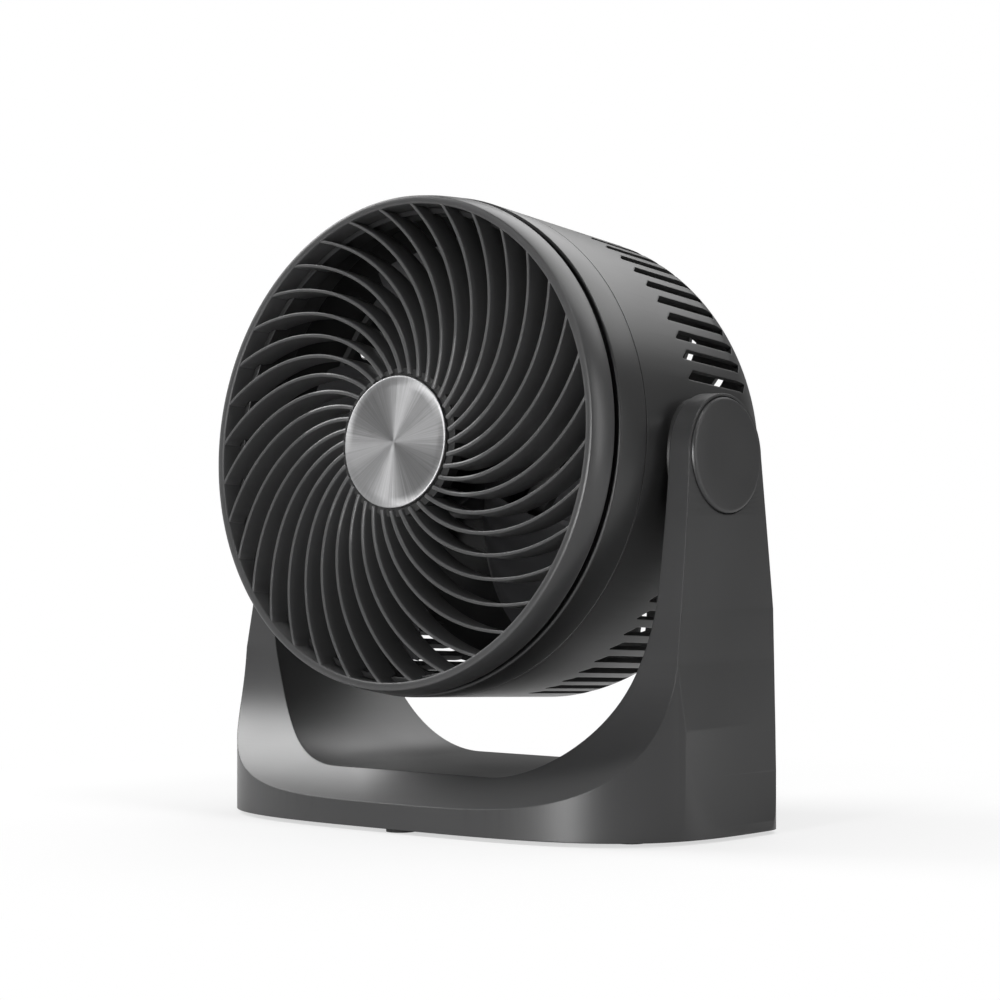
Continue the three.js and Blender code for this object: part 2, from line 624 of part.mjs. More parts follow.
// A motor screw: head on the mount's front face, shank through it into the motor.
function motorScrew(turn) {
  const face = MOUNT_FRONT + GAP;
  return disc(SCREW_HEAD_RADIUS, 0, face + SCREW_HEAD, face)
    .add(disc(SCREW_RADIUS, 0, face, face - SCREW_LENGTH))
    .translate([MOTOR_SCREW_CIRCLE, 0, 0]).rotate([0, turn, 0]);
}

// ---- speed control -----------------------------------------------------------------
function switchBody() {
  const face = DOME_REAR + DRUM_WALL + GAP;
  const body = box(SWITCH_SIZE, SWITCH_DEPTH, SWITCH_SIZE)
    .translate([0, -face - SWITCH_DEPTH / 2, 0]);
  return body.subtract(disc(KNOB_STEM + GAP, 0, face + 10, face - 1));
}

function knob() {
  const front = DOME_REAR - GAP;
  const rear = front - KNOB_DEPTH;
  const round = turned([[0, front], [KNOB_RADIUS, front], [KNOB_RADIUS, front - 3],
    [KNOB_RADIUS - 1.5, rear + 1], [KNOB_RADIUS - 3, rear], [0, rear]], 2 * SMALL_SIDES);
  const pointer = box(3, 2, KNOB_RADIUS - 3).translate([0, -rear + 0.4, KNOB_RADIUS / 2]);
  const stem = disc(KNOB_STEM, 0, DOME_REAR + DRUM_WALL + 8, front - 1);
  return round.add(pointer).add(stem);
}

function capacitor() {
  const [x, y, z] = CAPACITOR_SIZE;
  return box(x, y, z);
}

// ---- assembly ----------------------------------------------------------------------
function mesh(name, piece, look) {
  const geometry = new THREE.BufferGeometry();
  const data = piece.simplify(MERGE).getMesh();
  geometry.setAttribute("position", new THREE.BufferAttribute(data.vertProperties, 3));
  geometry.setIndex(new THREE.BufferAttribute(data.triVerts, 1));
  geometry.computeVertexNormals();
  const result = new THREE.Mesh(geometry, new THREE.MeshStandardMaterial(look));
  result.name = name;
  return result;
}

function addAll(group, pieces) {
  for (const [name, piece, look] of pieces) group.add(mesh(name, piece, look));
}

function standGroup() {
  const group = new THREE.Group();
  const ballastUp = PLATE_TOP + GAP / 3 + BALLAST_SIZE[2] / 2;
  addAll(group, [
    ["stand_shell", standShell(), finish.shell],
    ["base_plate", basePlate(), finish.dark],
    ["base_ballast", box(...BALLAST_SIZE).translate([0, (CAVITY_REAR - CAVITY_FRONT) / 2,
      ballastUp]), finish.steel],
  ]);
  screwPlaces().forEach(([x, y], i) => {
    const piece = screw().translate([x, y, SHELL_BOTTOM - GAP / 3]);
    addAll(group, [[`base_screw_${i + 1}`, piece, finish.steel]]);
  });
  footPlaces().forEach(([x, y], i) => {
    const piece = post(FOOT_RADIUS, FOOT_HEIGHT).translate([x, y, SHELL_BOTTOM - FOOT_DROP]);
    addAll(group, [[`foot_${i + 1}`, piece, finish.rubber]]);
  });
  for (const [side, sign] of SIDES) {
    addAll(group, [[`pivot_cap_${side}`, pivotCap(sign), finish.shell]]);
    addAll(group, [[`pivot_washer_${side}`, pivotWasher(sign), finish.rubber]]);
  }
  return group;
}

function headGroup() {
  const group = new THREE.Group();
  group.rotation.x = THREE.MathUtils.degToRad(-TILT);
  addAll(group, [
    ["front_grille", frontGrille(), finish.grille],
    ["hub_disc", hubDisc(), finish.brushed],
    ["drum_front", drumFront(), finish.shell],
    ["rear_shell", rearShell(), finish.shell],
    ["impeller", impeller(), finish.fan],
    ["spinner_nut", spinnerNut(), finish.steel],
    ["motor_shaft", shaft(), finish.steel],
    ["motor_rotor", rotor(), finish.steel],
    ["motor_stator", stator(), finish.copper],
    ["motor_can", motorCan(), finish.steel],
    ["motor_cover", motorCover(), finish.steel],
    ["motor_mount", motorMount(), finish.dark],
    ["front_bearing", bearing(MOTOR_FRONT - MOTOR_WALL - GAP), finish.steel],
    ["rear_bearing", bearing(MOTOR_REAR - GAP), finish.steel],
    ["speed_switch", switchBody(), finish.dark],
    ["speed_knob", knob(), finish.dark],
    ["run_capacitor", capacitor().translate([0, -MOTOR_REAR - CAPACITOR_SIZE[1] / 2,
      -MOTOR_RADIUS - CAPACITOR_SIZE[2] / 2 - GAP]), finish.dark],
  ]);
  motorScrewTurns().forEach((turn, i) => {
    addAll(group, [[`motor_screw_${i + 1}`, motorScrew(turn), finish.steel]]);
  });
  for (const [side, sign] of SIDES) {
    addAll(group, [[`pivot_boss_${side}`, pivotBoss(sign), finish.dark],
      [`pivot_bolt_${side}`, pivotBolt(sign), finish.steel],
      [`pivot_nut_${side}`, pivotNut(sign), finish.steel]]);
  }
  return group;
}

const fan = new THREE.Group();
fan.add(standGroup(), headGroup());
fan.position.z = PIVOT_HEIGHT;
const extent = new THREE.Box3().setFromObject(fan);
fan.position.y = -(extent.min.y + extent.max.y) / 2;
fan.position.x = -(extent.min.x + extent.max.x) / 2;

export default fan;
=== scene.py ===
"""Air circulator fan: the looks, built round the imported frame. Metres, +Z up, the fan faces -Y.

Shapes are worked out in millimetres from the middle of the pivot axis, and HEAD or STAND places
them. "Ahead" is the distance from the pivot axis toward the grille, along the head's own axis.
"""
import json
import math

import bmesh
import bpy
from mathutils import Matrix, Vector


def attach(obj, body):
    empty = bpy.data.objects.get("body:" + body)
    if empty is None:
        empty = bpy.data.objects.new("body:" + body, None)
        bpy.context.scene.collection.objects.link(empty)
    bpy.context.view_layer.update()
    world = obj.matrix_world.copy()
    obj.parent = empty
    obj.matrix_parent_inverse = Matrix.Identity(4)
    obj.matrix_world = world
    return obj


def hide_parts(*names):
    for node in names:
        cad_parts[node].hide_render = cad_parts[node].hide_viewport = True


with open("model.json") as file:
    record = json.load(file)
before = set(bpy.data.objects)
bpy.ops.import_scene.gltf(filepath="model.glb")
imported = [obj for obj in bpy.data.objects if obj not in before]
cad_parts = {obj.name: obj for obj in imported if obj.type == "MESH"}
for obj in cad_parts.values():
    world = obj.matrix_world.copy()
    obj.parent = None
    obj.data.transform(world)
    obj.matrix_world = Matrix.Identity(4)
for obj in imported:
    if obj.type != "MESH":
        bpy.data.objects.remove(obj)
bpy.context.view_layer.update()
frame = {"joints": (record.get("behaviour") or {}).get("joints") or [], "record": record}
MM = 0.001

# ---- sizes in millimetres; those that the solids have too carry the same names -------
GAP = 0.3                      # clearance between pieces that touch on the real fan
TILT = math.radians(4.75)      # how far the head looks up
PIVOT = Vector(next(j["pos_m"] for j in frame["joints"] if j["name"] == "head_tilt"))
PIVOT_HEIGHT = round(PIVOT.z / MM, 3)
FOOT_DROP = 1.9                # how far the feet reach below the shell

BASE_SPREAD = 10.3             # how far the bottom edge stands out past an arm
BASE_FRONT = 88.0              # bottom edge ahead of the pivot axis
BASE_REAR = 38.0               # bottom edge behind the pivot axis
BASE_WIDEST = 20.0             # where the plan is widest, behind the pivot axis
BASE_SQUARENESS = 3.5          # exponent of the plan's rounded front
BASE_REAR_CORNER = 17.0
FRONT_WALL = 12.0              # height of the shell's front edge
FLOOR_THICK = 26.0             # height of the shell between the arms

ARM_THICK = 11.5               # at the pivot
ARM_TOP_RADIUS = 29.0
ARM_LEAN = math.radians(2.5)   # how far the outer face leans in, at the pivot
ARM_FLARE = 4.0                # handle of the outer face's curve, past the arm at floor height
YOKE_CLEAR = 3.9               # between the drum's side and an arm's inner face
YOKE_FLAT = 48.0               # half width of the level floor between the arms
YOKE_CURVE = 90.0              # height of the yoke's elliptical inner corner
LEAN_REACH = 60.0              # how far below the pivot an arm stays straight
KNEE_HEIGHT = 50.0             # where the front sweep meets an arm, above the floor
KNEE_AHEAD = 15.0              # how far the knee stands ahead of the arm's top
SWEEP_HANDLE = (22.0, 16.0)    # (back, up) of the sweep's curve where it leaves the front edge
KNEE_HANDLE = (4.6, 28.0)      # (back, up) of the curves on both sides of the knee
SHIN_HANDLE = (3.0, 34.0)      # (ahead, down) of the arm's front edge where it meets the top
HEEL_HANDLE = (5.0, 60.0)      # (back, down) of the arm's rear edge where it leaves the top
HEEL_REACH = 90.0              # how far below the pivot the rear edge turns upright

RING_RADIUS = 118.0            # grille ring, outside
RING_AHEAD = 83.0              # front plane of the grille ring
RING_FACE = 4.0
RING_DEPTH = 15.5
RIB_COUNT = 36
RIB_DEPTH = 17.0
RIB_SWEEP = 50.4               # degrees from hub to ring, at a steady rate
RIB_PHASE = -0.9
RIB_HALF_THICK = 1.05          # at the hub
RIB_THINNING = 0.3             # how much of that is lost on the way to the ring
RIB_HUB_GAP = 1.2              # between the disc's edge and a rib's inner end
RIB_SUNK = 0.6                 # how far a rib runs into the ring
RIB_ROUND = 0.6                # depth of a rib's rounded crest
RIB_BELOW_RING = 0.4           # how far the crest lies behind the ring's front plane
NECK_RADIUS = 110.5            # from here outward a rib stays clear of the drum's neck
NECK_RIB_DEPTH = 10.9
HUB_RADIUS = 31.7
HUB_COLLAR = 35.5
HUB_THICK = 2.4
HUB_PROUD = 0.4                # how far the disc stands ahead of the ring's front plane
COLLAR_DEPTH = 9.0

LIP_RADIUS = 120.3             # front lip of the drum
LIP_AHEAD = 64.6
DRUM_WALL = 2.6
DRUM_REAR_RADIUS = 116.6       # where the drum turns into the rear dome
DRUM_STRAIGHT = 40.0           # behind the pivot axis
DOME_DEPTH = 55.0
DOME_SHOULDER = (2.0, 0.36)    # handle of the dome's curve: inward, and share of its depth
DOME_HIP, DOME_BACK = 0.8, 0.5     # shares of the radius, on the dome's rear plane
SEAM_AHEAD = 44.0              # joint between drum front and rear shell
STEM_HOLE = 4.0                # radius of the knob's hole in the dome

SLOT_PITCH = 5.2               # degrees
SLOT_FIRST = 19.0              # degrees above the pivot axis
SLOTS_PER_QUARTER = 12
SLOT_WIDTH = 5.6
SLOT_FRONT = 4.0               # front end ahead of the pivot axis
SLOT_REAR = 45.0               # rear end behind the pivot axis
SLOT_SLANT = 0.9               # how far a slot's ends lean back, in slot widths
INTAKE_COUNT = 20
INTAKE_WIDTH = 5.0
INTAKE_MIDDLE = 0.56           # middle of a slot in the dome, a share of the radius
INTAKE_REACH = 0.17            # half its length, the same

CAP_RADIUS = 27.2
CAP_THICK = 4.0
CAP_PROUD = 1.2
CAP_CLEAR = 0.45               # between a cap's edge and its recess
RECESS_DEPTH = 3.2
BOSS_RADIUS = 27.0
BOSS_CLEAR = 1.5               # between a boss and the arm
BOSS_LENGTH = 8.2

FAN_RADIUS = 103.0
FAN_AHEAD = 50.0               # front of the impeller hub
FAN_DEPTH = 34.0
FAN_HUB_RADIUS = 32.0
FAN_HUB_WALL = 2.6
FAN_HUB_FRONT = 4.5            # thickness of the hub's front
FAN_BORE = 4.05
FAN_SOCKET = 9.0               # radius of the collar round the bore
BLADE_COUNT = 5
BLADE_SPAN = math.radians(44)  # covered by one blade
BLADE_PHASE = math.radians(-7)
BLADE_THICK = 2.0
BLADE_SUNK = 0.8               # how far a blade runs into the hub
BLADE_MARGIN = 10.0            # how much less deep the blades are than the hub
BLADE_LEAD = 0.25              # radians by which the tip leads the root
BLADE_TIP_ROUND = 0.06         # radians taken off both corners of the tip

SHELL_BOTTOM = FOOT_DROP - PIVOT_HEIGHT     # heights are from the pivot axis
FLOOR = SHELL_BOTTOM + FLOOR_THICK
GRILLE_REAR = RING_AHEAD - RING_DEPTH
DOME_REAR = -(DRUM_STRAIGHT + DOME_DEPTH)
FAN_REAR = FAN_AHEAD - FAN_DEPTH
TAPER = (LIP_RADIUS - DRUM_REAR_RADIUS) / (LIP_AHEAD + DRUM_STRAIGHT)


def drum_radius(ahead):
    return LIP_RADIUS - TAPER * (LIP_AHEAD - ahead)


ARM_INNER = drum_radius(0) + YOKE_CLEAR
ARM_HALF_WIDTH = ARM_INNER + ARM_THICK
BASE_HALF_WIDTH = ARM_HALF_WIDTH + BASE_SPREAD

# Rounded rims, as (inward, down) from the corner of a turned piece.
CAP_RIM = ((0, 1.1), (0.3, 0.45), (0.9, 0.12), (1.8, 0))
BOSS_RIM = ((1.6, 0), (0.5, 0.4), (0, 1.4))
DISC_RIM = ((0, 0.7), (0.25, 0.25), (0.9, 0))
RING_INNER_RIM = ((0, 0.9), (0.25, 0.3), (0.9, 0))
RING_OUTER_RIM = ((0.9, 0), (0.3, 0.25), (0, 0.9))
LIP_SIDE = ((0.1, 0.5), (0, 1.2))
LIP_CROWN = ((4, 1.6), (2.6, 0.3), (1.6, 0), (0.8, 0.05))
SLOT_CORNER = ((1.6, 0), (0.3, 0.4), (-0.5, 1.3))     # (back, down) at a slot's upper front

SIDES = ((-1, "left"), (1, "right"))
HEAD = (Matrix.Translation(PIVOT)
        @ Matrix.Rotation(-TILT, 4, "X") @ Matrix.Scale(MM, 4))
STAND = Matrix.Translation(PIVOT) @ Matrix.Scale(MM, 4)
# What an outline's x and y become: X and Z, or Y and Z.
FRONT_VIEW = Matrix(((1, 0, 0, 0), (0, 0, -1, 0), (0, 1, 0, 0), (0, 0, 0, 1)))
SIDE_VIEW = Matrix(((0, 0, 1, 0), (1, 0, 0, 0), (0, 1, 0, 0), (0, 0, 0, 1)))
FAR = 200                      # reaches past the whole stand


def new_object(name, data):
    thing = bpy.data.objects.new(name, data)
    bpy.context.scene.collection.objects.link(thing)
    return thing


# ---- camera --------------------------------------------------------------------------
FRAME_PIXELS = 1000
SENSOR = 36.0
CAMERA_FOCUS = 2764.5          # focal length in pixels of the frame
CAMERA_TURN = math.radians(39.52)
CAMERA_RISE = math.radians(-0.39)
CAMERA_RANGE = 1.37393         # metres, along the view, to the pivot axis' middle
PIVOT_PIXEL = (505.1, 459.1)   # where the photograph shows the pivot axis' middle


def make_camera():
    data = bpy.data.cameras.new("camera")
    data.sensor_width = SENSOR
    data.lens = SENSOR * CAMERA_FOCUS / FRAME_PIXELS
    data.clip_start, data.clip_end = 0.05, 20
    camera = new_object("camera", data)
    back = Vector((math.sin(CAMERA_TURN) * math.cos(CAMERA_RISE),
                   -math.cos(CAMERA_TURN) * math.cos(CAMERA_RISE), math.sin(CAMERA_RISE)))
    right = Vector((math.cos(CAMERA_TURN), math.sin(CAMERA_TURN), 0))
    up = back.cross(right)
    aside = (PIVOT_PIXEL[0] - FRAME_PIXELS / 2) / CAMERA_FOCUS * CAMERA_RANGE
    above = (FRAME_PIXELS / 2 - PIVOT_PIXEL[1]) / CAMERA_FOCUS * CAMERA_RANGE
    place = PIVOT - right * aside - up * above + back * CAMERA_RANGE
    turn = Matrix((right, up, back)).transposed().to_4x4()
    camera.matrix_world = Matrix.Translation(place) @ turn
    bpy.context.scene.camera = camera


make_camera()


# ---- materials -----------------------------------------------------------------------
FLOW_MARKS = 14.0              # noise scales, per metre
PLASTIC_GRAIN = 1900.0
METAL_MARKS = 320.0
RUBBER_GRAIN = 900.0
HIGHLIGHT_START, HIGHLIGHT_FULL = 0.53, 0.62     # pointiness where the painted highlight along an edge starts, and where it is full
EDGE_RADIUS = 0.0009           # metres, of the rounding that moulded edges are shaded with


def new_material(name):
    material = bpy.data.materials.new(name)
    material.use_nodes = True
    nodes = material.node_tree.nodes
    return material, nodes, material.node_tree.links, nodes["Principled BSDF"]


def noise(nodes, links, scale, detail=3.0, stretch=None):
    place = nodes.new("ShaderNodeTexCoord")
    texture = nodes.new("ShaderNodeTexNoise")
    texture.inputs["Scale"].default_value = scale
    texture.inputs["Detail"].default_value = detail
    source = place.outputs["Object"]
    if stretch:
        mapping = nodes.new("ShaderNodeMapping")
        mapping.inputs["Scale"].default_value = stretch
        links.new(source, mapping.inputs["Vector"])
        source = mapping.outputs["Vector"]
    links.new(source, texture.inputs["Vector"])
    return texture.outputs["Fac"]


def spread(nodes, links, value, low, high, start=0.3, end=0.7):
    """A value's range from start to end, stretched to the range from low to high."""
    ramp = nodes.new("ShaderNodeMapRange")
    ramp.inputs["From Min"].default_value = start
    ramp.inputs["From Max"].default_value = end
    ramp.inputs["To Min"].default_value = low
    ramp.inputs["To Max"].default_value = high
    links.new(value, ramp.inputs["Value"])
    return ramp.outputs["Result"]


def colours(nodes, links, value, dark, light):
    ramp = nodes.new("ShaderNodeValToRGB")
    ramp.color_ramp.elements[0].color = (*dark, 1)
    ramp.color_ramp.elements[1].color = (*light, 1)
    ramp.color_ramp.elements[0].position = 0.3
    ramp.color_ramp.elements[1].position = 0.7
    links.new(value, ramp.inputs["Fac"])
    return ramp.outputs["Color"]


def shade(tone, factor):
    return [c * factor for c in tone]


def bumps(nodes, links, height, strength, depth):
    bump = nodes.new("ShaderNodeBump")
    bump.inputs["Strength"].default_value = strength
    bump.inputs["Distance"].default_value = depth
    links.new(height, bump.inputs["Height"])
    return bump


def maths(nodes, links, operation, first, second):
    """A Math node's result, from two sockets or from a socket and a number."""
    node = nodes.new("ShaderNodeMath")
    node.operation = operation
    links.new(first, node.inputs[0])
    if isinstance(second, float):
        node.inputs[1].default_value = second
    else:
        links.new(second, node.inputs[1])
    return node.outputs["Value"]


def painted_edge_highlight(nodes, links, tint, tone, amount):
    """Mixes a lighter tone into a tint along the outer edges, as a painted highlight."""
    geometry = nodes.new("ShaderNodeNewGeometry")
    # painted highlight: a lighter tone mixed in along sharp outer edges, found by pointiness
    highlight = spread(nodes, links, geometry.outputs["Pointiness"], 0.0, amount, HIGHLIGHT_START, HIGHLIGHT_FULL)
    mix = nodes.new("ShaderNodeMix")
    mix.data_type = "RGBA"
    mix.inputs["B"].default_value = (*[min(c * 2.2 + 0.01, 1) for c in tone], 1)
    links.new(highlight, mix.inputs["Factor"])
    links.new(tint, mix.inputs["A"])
    return mix.outputs["Result"]


def plastic(name, tone, gloss, grain=1.0, edge=0.0):
    """Moulded satin plastic: fine grain and faint flow marks, and, if asked, rounded edges with a
    painted highlight along them.
    """
    material, nodes, links, shader = new_material(name)
    broad = noise(nodes, links, FLOW_MARKS, 2.0)
    fine = noise(nodes, links, PLASTIC_GRAIN, 2.0)
    tint = colours(nodes, links, broad, shade(tone, 0.92), shade(tone, 1.08))
    bump = bumps(nodes, links, fine, 0.12 * grain, 0.00005)
    # edge sets the strength of the painted edge highlight, and also turns on the rounded-edge shading
    if edge:
        tint = painted_edge_highlight(nodes, links, tint, tone, edge)
        rounded = nodes.new("ShaderNodeBevel")
        rounded.samples = 4
        rounded.inputs["Radius"].default_value = EDGE_RADIUS
        links.new(rounded.outputs["Normal"], bump.inputs["Normal"])
    links.new(tint, shader.inputs["Base Color"])
    links.new(spread(nodes, links, broad, gloss - 0.03, gloss + 0.03), shader.inputs["Roughness"])
    links.new(bump.outputs["Normal"], shader.inputs["Normal"])
    return material


def angle_round(nodes, links, centre, axis_turn):
    """The angle round a disc's centre, in radians."""
    place = nodes.new("ShaderNodeTexCoord")
    mapping = nodes.new("ShaderNodeMapping")
    mapping.vector_type = "TEXTURE"
    mapping.inputs["Location"].default_value = centre
    mapping.inputs["Rotation"].default_value = axis_turn
    links.new(place.outputs["Object"], mapping.inputs["Vector"])
    split = nodes.new("ShaderNodeSeparateXYZ")
    links.new(mapping.outputs["Vector"], split.inputs["Vector"])
    return maths(nodes, links, "ARCTAN2", split.outputs["X"], split.outputs["Z"])


def brushed_metal(name, tone, centre, axis_turn):
    """A spun disc: its sheen fans out from the centre, and its tint changes with the angle."""
    material, nodes, links, shader = new_material(name)
    spokes = nodes.new("ShaderNodeTexNoise")
    spokes.noise_dimensions = "1D"
    spokes.inputs["Scale"].default_value = 26.0
    spokes.inputs["Detail"].default_value = 6.0
    links.new(angle_round(nodes, links, centre, axis_turn), spokes.inputs["W"])
    value = spokes.outputs["Fac"]
    tint = colours(nodes, links, value, shade(tone, 0.86), shade(tone, 1.06))
    links.new(tint, shader.inputs["Base Color"])
    links.new(spread(nodes, links, value, 0.36, 0.48), shader.inputs["Roughness"])
    shader.inputs["Metallic"].default_value = 1.0
    shader.inputs["Anisotropic"].default_value = 0.75
    tangent = nodes.new("ShaderNodeTangent")
    tangent.direction_type = "RADIAL"
    tangent.axis = "Y"
    links.new(tangent.outputs["Tangent"], shader.inputs["Tangent"])
    bump = bumps(nodes, links, value, 0.1, 0.00003)
    links.new(bump.outputs["Normal"], shader.inputs["Normal"])
    return material


def metal(name, tone, gloss):
    """Plain metal with fine marks in its tint and roughness."""
    material, nodes, links, shader = new_material(name)
    marks = noise(nodes, links, METAL_MARKS, 4.0, (1, 1, 8))
    links.new(colours(nodes, links, marks, shade(tone, 0.85), tone), shader.inputs["Base Color"])
    links.new(spread(nodes, links, marks, gloss - 0.06, gloss + 0.08), shader.inputs["Roughness"])
    shader.inputs["Metallic"].default_value = 1.0
    return material


def rubber(name):
    material, nodes, links, shader = new_material(name)
    fine = noise(nodes, links, RUBBER_GRAIN)
    links.new(colours(nodes, links, fine, (0.012,) * 3, (0.02,) * 3), shader.inputs["Base Color"])
    links.new(spread(nodes, links, fine, 0.75, 0.9), shader.inputs["Roughness"])
    return material


SHELL = plastic("satin_charcoal", (0.019, 0.019, 0.0194), 0.36, 1.0, edge=0.5)
GRILLE = plastic("grille_charcoal", (0.03, 0.03, 0.0305), 0.34, 0.8, edge=0.6)
# darker copy of the satin plastic for the drum: painted shade on the drum's side and lower part
SHADED_CASING = plastic("casing_black_painted_shade", (0.009, 0.009, 0.0092), 0.34, 1.0, edge=0.4)
# near black for the drum's inside: painted shade
BORE_SHADE = plastic("bore_painted_shade", (0.004, 0.004, 0.004), 0.6)
DARK = plastic("satin_black", (0.012, 0.012, 0.012), 0.5)
FAN = plastic("fan_black", (0.02, 0.02, 0.021), 0.34)
STEEL = metal("zinc_steel", (0.5, 0.5, 0.52), 0.36)
COPPER = metal("winding_copper", (0.45, 0.2, 0.08), 0.45)
RUBBER = rubber("foot_rubber")
BRUSHED = brushed_metal("brushed_disc", (0.3, 0.3, 0.303),
                        HEAD @ Vector((0, -RING_AHEAD, 0)), (-TILT, 0, 0))
LOOKS = {"steel": STEEL, "copper": COPPER, "rubber": RUBBER, "dark": DARK, "shell": SHELL,
         "grille": GRILLE, "fan": FAN, "brushed": BRUSHED}


# ---- mesh helpers --------------------------------------------------------------------
def solid(name, vertices, faces, merge=0.0):
    """A mesh object with its normals turned outward, and vertices closer than merge joined."""
    data = bpy.data.meshes.new(name)
    data.from_pydata(vertices, [], faces)
    data.validate()
    shape = bmesh.new()
    shape.from_mesh(data)
    if merge:
        bmesh.ops.remove_doubles(shape, verts=shape.verts, dist=merge)
    bmesh.ops.recalc_face_normals(shape, faces=shape.faces)
    shape.to_mesh(data)
    shape.free()
    return new_object(name, data)


def soften(piece, degrees):
    """Shades a piece smooth, except over edges that turn by more than some degrees."""
    data = piece.data
    data.polygons.foreach_set("use_smooth", [True] * len(data.polygons))
    shape = bmesh.new()
    shape.from_mesh(data)
    for edge in shape.edges:
        if len(edge.link_faces) == 2 and edge.calc_face_angle(0) > math.radians(degrees):
            edge.smooth = False
    shape.to_mesh(data)
    shape.free()


def dress(piece, material, body, slot, *nodes):
    """Gives a piece its material and body, and lets it replace the solids named; slot is not used."""
    piece.data.materials.clear()
    piece.data.materials.append(material)
    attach(piece, body)
    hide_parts(*nodes)


def combine(piece, other, operation):
    """Cuts another object out of a piece, or keeps what both share, and removes the other."""
    modifier = piece.modifiers.new("combine", "BOOLEAN")
    modifier.operation = operation
    modifier.solver = "EXACT"
    modifier.object = other
    depsgraph = bpy.context.evaluated_depsgraph_get()
    result = bpy.data.meshes.new_from_object(piece.evaluated_get(depsgraph))
    piece.modifiers.clear()
    piece.data = result
    bpy.data.objects.remove(other)


def cut(piece, cutters):
    """Cuts prisms out of a piece, all at once."""
    vertices, faces = [], []
    for points, sides in cutters:
        faces += [tuple(len(vertices) + i for i in side) for side in sides]
        vertices += points
    combine(piece, solid("cutter", vertices, faces), "DIFFERENCE")


def prism(outline, low, high, matrix):
    """An outline in x and y raised from z = low to high, placed by a matrix."""
    points = [matrix @ Vector((x, y, low)) for x, y in outline]
    points += [matrix @ Vector((x, y, high)) for x, y in outline]
    count = len(outline)
    sides = [tuple(range(count - 1, -1, -1)), tuple(range(count, 2 * count))]
    sides += [(i, (i + 1) % count, (i + 1) % count + count, i + count) for i in range(count)]
    return points, sides


def turned(profile, sides):
    """A closed profile of (radius, ahead) turned round the head's axis."""
    vertices = []
    for i in range(sides):
        turn = 2 * math.pi * i / sides
        vertices += [(r * math.cos(turn), -s, r * math.sin(turn)) for r, s in profile]
    count = len(profile)
    faces = []
    for i in range(sides):
        here, there = i * count, (i + 1) % sides * count
        for j in range(count):
            k = (j + 1) % count
            if profile[j][0] == 0 and profile[k][0] == 0:
                continue
            faces.append((here + j, there + j, there + k, here + k))
    return vertices, faces


def add_mesh(name, vertices, faces, place, smooth):
    piece = solid(name, [place @ Vector(v) for v in vertices], faces, merge=1e-6)
    soften(piece, smooth)
    return piece


def lathe(name, profile, sides, place=HEAD, smooth=25):
    return add_mesh(name, *turned(profile, sides), place, smooth)


def rim(radius, top, steps, way=1):
    """The points of a rounded rim, inward for an outer rim and outward (way = -1) for a bore."""
    return [(radius - way * aside, top - down) for aside, down in steps]


def bezier(points, steps):
    a, b, c, d = [Vector(p) for p in points]
    result = []
    for i in range(steps + 1):
        t = i / steps
        p = a * (1 - t) ** 3 + b * 3 * t * (1 - t) ** 2 + c * 3 * t * t * (1 - t) + d * t ** 3
        result.append((p.x, p.y))
    return result


# ---- stand ---------------------------------------------------------------------------
def plan_half(share):
    """A point of the base's plan, from the middle of the front (0) to the widest place (1)."""
    turn = share * math.pi / 2
    power = 2 / BASE_SQUARENESS
    x = BASE_HALF_WIDTH * math.sin(turn) ** power
    return x, BASE_WIDEST - (BASE_FRONT + BASE_WIDEST) * max(math.cos(turn), 0) ** power


def plan_outline(steps=120, corner_steps=12):
    front = [plan_half(i / steps) for i in range(1, steps + 1)]
    middle = (BASE_HALF_WIDTH - BASE_REAR_CORNER, BASE_REAR - BASE_REAR_CORNER)
    turns = [i * math.pi / 2 / corner_steps for i in range(corner_steps + 1)]
    corner = [(middle[0] + BASE_REAR_CORNER * math.cos(turn),
               middle[1] + BASE_REAR_CORNER * math.sin(turn)) for turn in turns]
    right = front + corner
    return [(0, -BASE_FRONT)] + right + [(-x, y) for x, y in reversed(right)]


def yoke_outline(steps=96):
    """The stand from the front: two arms that flare into the base, and the opening between."""
    top = ARM_TOP_RADIUS + 1
    lean = math.tan(ARM_LEAN)
    outer = bezier(((BASE_HALF_WIDTH + 0.3, SHELL_BOTTOM), (ARM_HALF_WIDTH + ARM_FLARE, FLOOR),
                    (ARM_HALF_WIDTH + LEAN_REACH * lean, -LEAN_REACH),
                    (ARM_HALF_WIDTH - top * lean, top)), 110)
    inner = []
    for i in range(steps + 1):
        turn = i / steps * math.pi / 2
        inner.append((YOKE_FLAT + (ARM_INNER - YOKE_FLAT) * math.cos(turn),
                      FLOOR + YOKE_CURVE * (1 - math.sin(turn))))
    right = outer + [(ARM_INNER, top)] + inner
    return right + [(-x, z) for x, z in reversed(right)]


